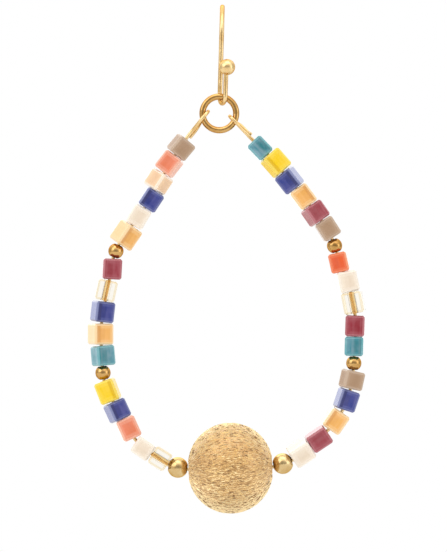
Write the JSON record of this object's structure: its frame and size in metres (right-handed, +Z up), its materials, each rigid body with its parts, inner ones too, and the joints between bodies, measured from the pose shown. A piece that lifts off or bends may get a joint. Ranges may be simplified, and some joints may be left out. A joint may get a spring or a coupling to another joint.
{
  "type": "beaded teardrop earring",
  "caption": "Drop earring: a teardrop wire strung with coloured glass cubes, small gold balls and a large brushed ball, hung from a jump ring on a hooked ear wire.",
  "frame": {"origin": "middle of the ear wire's thickness at its crown, the point that hangs in the ear", "axes": "+Z up, +X to the right as the teardrop is seen from its front, and the front faces -Y; the loop hangs across X"},
  "size_m": [0.0418, 0.0185, 0.0766],
  "materials": {
    "polished_gold": "polished gold plating on brass",
    "brushed_gold": "gold plating brushed in fine short lines",
    "glass_taupe": "lustred taupe glass, glossy, slightly milky",
    "glass_coral": "lustred coral glass, glossy, slightly milky",
    "glass_peach": "lustred peach glass, glossy, slightly milky",
    "glass_navy": "lustred navy glass, glossy, slightly milky",
    "glass_ivory": "lustred ivory glass, glossy, slightly milky",
    "glass_apricot": "lustred apricot glass, glossy, slightly milky",
    "glass_burgundy": "lustred burgundy glass, glossy, slightly milky",
    "glass_clear": "clear glass, polished, with soft bevels",
    "glass_teal": "lustred teal glass, glossy, slightly milky",
    "glass_yellow": "lustred yellow glass, glossy, slightly milky",
    "glass_orange": "lustred orange glass, glossy, slightly milky"
  },
  "bodies": {
    "hook": {"ear_hook": "polished_gold"},
    "ring": {"jump_ring": "polished_gold"},
    "drop": {"bead_wire": "polished_gold", "bead_01_taupe": "glass_taupe", "bead_02_coral": "glass_coral", "bead_03_peach": "glass_peach", "bead_04_navy": "glass_navy", "bead_05_ivory": "glass_ivory", "bead_06_apricot": "glass_apricot", "bead_07_small_ball": "polished_gold", "bead_08_burgundy": "glass_burgundy", "bead_09_crystal": "glass_clear", "bead_10_navy": "glass_navy", "bead_11_apricot": "glass_apricot", "bead_12_teal": "glass_teal", "bead_13_small_ball": "polished_gold", "bead_14_yellow": "glass_yellow", "bead_15_navy": "glass_navy", "bead_16_coral": "glass_coral", "bead_17_ivory": "glass_ivory", "bead_18_crystal": "glass_clear", "bead_19_spacer_ball": "polished_gold", "bead_20_brushed_ball": "brushed_gold", "bead_21_spacer_ball": "polished_gold", "bead_22_ivory": "glass_ivory", "bead_23_burgundy": "glass_burgundy", "bead_24_apricot": "glass_apricot", "bead_25_navy": "glass_navy", "bead_26_taupe": "glass_taupe", "bead_27_small_ball": "polished_gold", "bead_28_teal": "glass_teal", "bead_29_burgundy": "glass_burgundy", "bead_30_crystal": "glass_clear", "bead_31_ivory": "glass_ivory", "bead_32_orange": "glass_orange", "bead_33_small_ball": "polished_gold", "bead_34_taupe": "glass_taupe", "bead_35_burgundy": "glass_burgundy", "bead_36_apricot": "glass_apricot", "bead_37_navy": "glass_navy", "bead_38_yellow": "glass_yellow", "bead_39_teal": "glass_teal"}
  },
  "joints": [
    {"name": "ring_swing", "type": "hinge", "parent": "hook", "child": "ring", "pos_m": [0.00003, -0.00547, -0.01481], "axis": [0, 1, 0], "range_deg": [-45, 45]},
    {"name": "drop_swing", "type": "hinge", "parent": "ring", "child": "drop", "pos_m": [-0.00056, -0.00547, -0.01723], "axis": [0.9944, 0, -0.1058], "range_deg": [-20, 20]}
  ]
}
